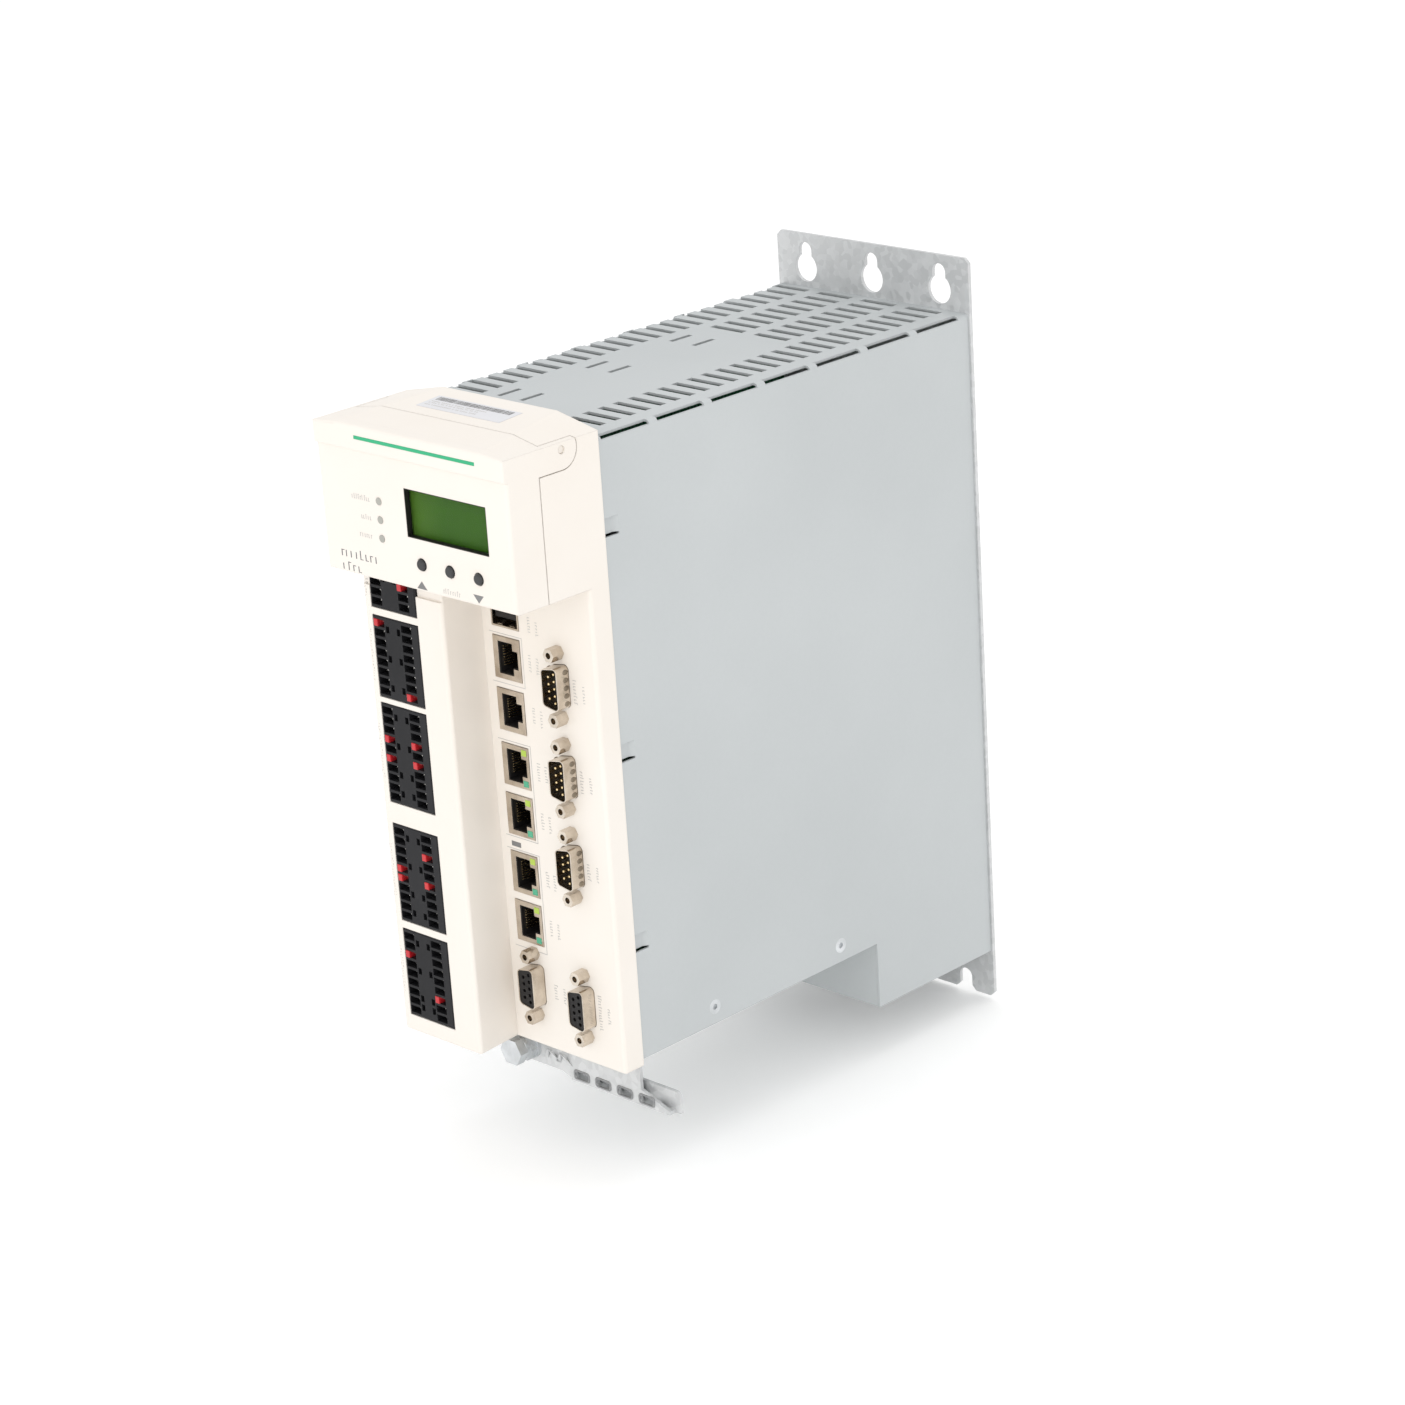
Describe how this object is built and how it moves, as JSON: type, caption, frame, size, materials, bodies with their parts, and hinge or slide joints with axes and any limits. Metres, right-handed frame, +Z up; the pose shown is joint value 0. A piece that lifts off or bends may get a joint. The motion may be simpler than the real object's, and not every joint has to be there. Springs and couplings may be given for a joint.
{
  "type": "servo drive controller",
  "caption": "Book-form cabinet controller: grey steel box on a keyhole plate, white front with terminal headers, network and D ports, and a hinged display hood.",
  "frame": {"origin": "middle of the back plate's rear face, which lies on the cabinet wall", "axes": "+Z up, +Y into the wall, so the operator's side faces -Y; +X to the operator's right"},
  "size_m": [0.114, 0.2489, 0.31],
  "materials": {
    "galvanised": "zinc-coated sheet steel with a fine spangle",
    "housing_steel": "zinc-coated sheet steel, matt grey",
    "ivory_plastic": "moulded, finely textured warm white",
    "black_plastic": "moulded, slightly rough",
    "dark_key": "moulded key cap",
    "green_stripe": "printed strip",
    "clear_pane": "clear acrylic pane",
    "display_green": "unlit character display",
    "circuit_board": "green solder mask on glass laminate",
    "lens_grey": "translucent light guide",
    "label_print": "printed polyester film",
    "pin_tin": "tin-plated pins",
    "red_plastic": "moulded coding keys",
    "nickel_shell": "nickel-plated drawn shell",
    "gold_contact": "gold-flashed contacts",
    "lamp_green": "yellow-green light guides",
    "zinc_steel": "bright zinc-plated fasteners",
    "bare_aluminium": "extruded",
    "transformer_iron": "varnished laminations and taped winding",
    "capacitor_sleeve": "dark sleeve",
    "cell_steel": "stainless coin cell",
    "card_plastic": "memory card shell",
    "fan_plastic": "glass-filled fan mouldings"
  },
  "bodies": {
    "drive": {"back_plate": "galvanised", "backup_cell": "cell_steel", "board_posts": "zinc_steel", "board_screws": "zinc_steel", "bracket_screws": "zinc_steel", "capacitors": "capacitor_sleeve", "card_slot": "black_plastic", "coding_keys": "red_plastic", "connector_board": "circuit_board", "earth_bolt": "zinc_steel", "earth_nuts": "zinc_steel", "earth_washers": "zinc_steel", "fan_frame": "fan_plastic", "fan_screws": "zinc_steel", "floor_pan": "housing_steel", "front_frame": "ivory_plastic", "heat_sink": "bare_aluminium", "hinge_pins": "zinc_steel", "housing_screws": "zinc_steel", "housing_shell": "housing_steel", "io_board": "circuit_board", "jack_contacts": "gold_contact", "jack_insert_1": "black_plastic", "jack_insert_2": "black_plastic", "jack_insert_3": "black_plastic", "jack_insert_4": "black_plastic", "jack_insert_5": "black_plastic", "jack_insert_6": "black_plastic", "jack_lamps": "lamp_green", "jack_shields": "nickel_shell", "main_board": "circuit_board", "memory_card": "card_plastic", "port_inserts": "black_plastic", "port_jackscrews": "nickel_shell", "port_pins": "gold_contact", "port_shells": "nickel_shell", "power_board": "circuit_board", "shield_bracket": "galvanised", "terminal_header_1": "black_plastic", "terminal_header_2": "black_plastic", "terminal_header_3": "black_plastic", "terminal_header_4": "black_plastic", "terminal_header_5": "black_plastic", "terminal_pins": "pin_tin", "transformer": "transformer_iron", "type_label": "label_print", "usb_shell": "nickel_shell", "usb_tongue": "black_plastic"},
    "display_flap": {"display_flap": "ivory_plastic", "accent_strip": "green_stripe", "display_window": "clear_pane", "display_module": "display_green", "display_board": "circuit_board", "flap_screws": "zinc_steel", "key_switches": "black_plastic", "status_lenses": "lens_grey"},
    "button_up": {"button_up": "dark_key"},
    "button_enter": {"button_enter": "dark_key"},
    "button_down": {"button_down": "dark_key"},
    "fan_rotor": {"fan_rotor": "fan_plastic"}
  },
  "joints": [
    {"name": "flap_hinge", "type": "hinge", "parent": "drive", "child": "display_flap", "pos_m": [0, -0.2205, 0.1335], "axis": [-1, 0, 0], "range_deg": [0, 90]},
    {"name": "button_up_press", "type": "slide", "parent": "display_flap", "child": "button_up", "axis": [0, 1, 0], "range_m": [0, 0.0008], "stiffness_N_per_m": 1200, "springref_m": -0.0002},
    {"name": "button_enter_press", "type": "slide", "parent": "display_flap", "child": "button_enter", "axis": [0, 1, 0], "range_m": [0, 0.0008], "stiffness_N_per_m": 1200, "springref_m": -0.0002},
    {"name": "button_down_press", "type": "slide", "parent": "display_flap", "child": "button_down", "axis": [0, 1, 0], "range_m": [0, 0.0008], "stiffness_N_per_m": 1200, "springref_m": -0.0002},
    {"name": "fan_spin", "type": "hinge", "parent": "drive", "child": "fan_rotor", "pos_m": [0, -0.036, -0.12], "axis": [0, 0, 1], "continuous": true}
  ]
}
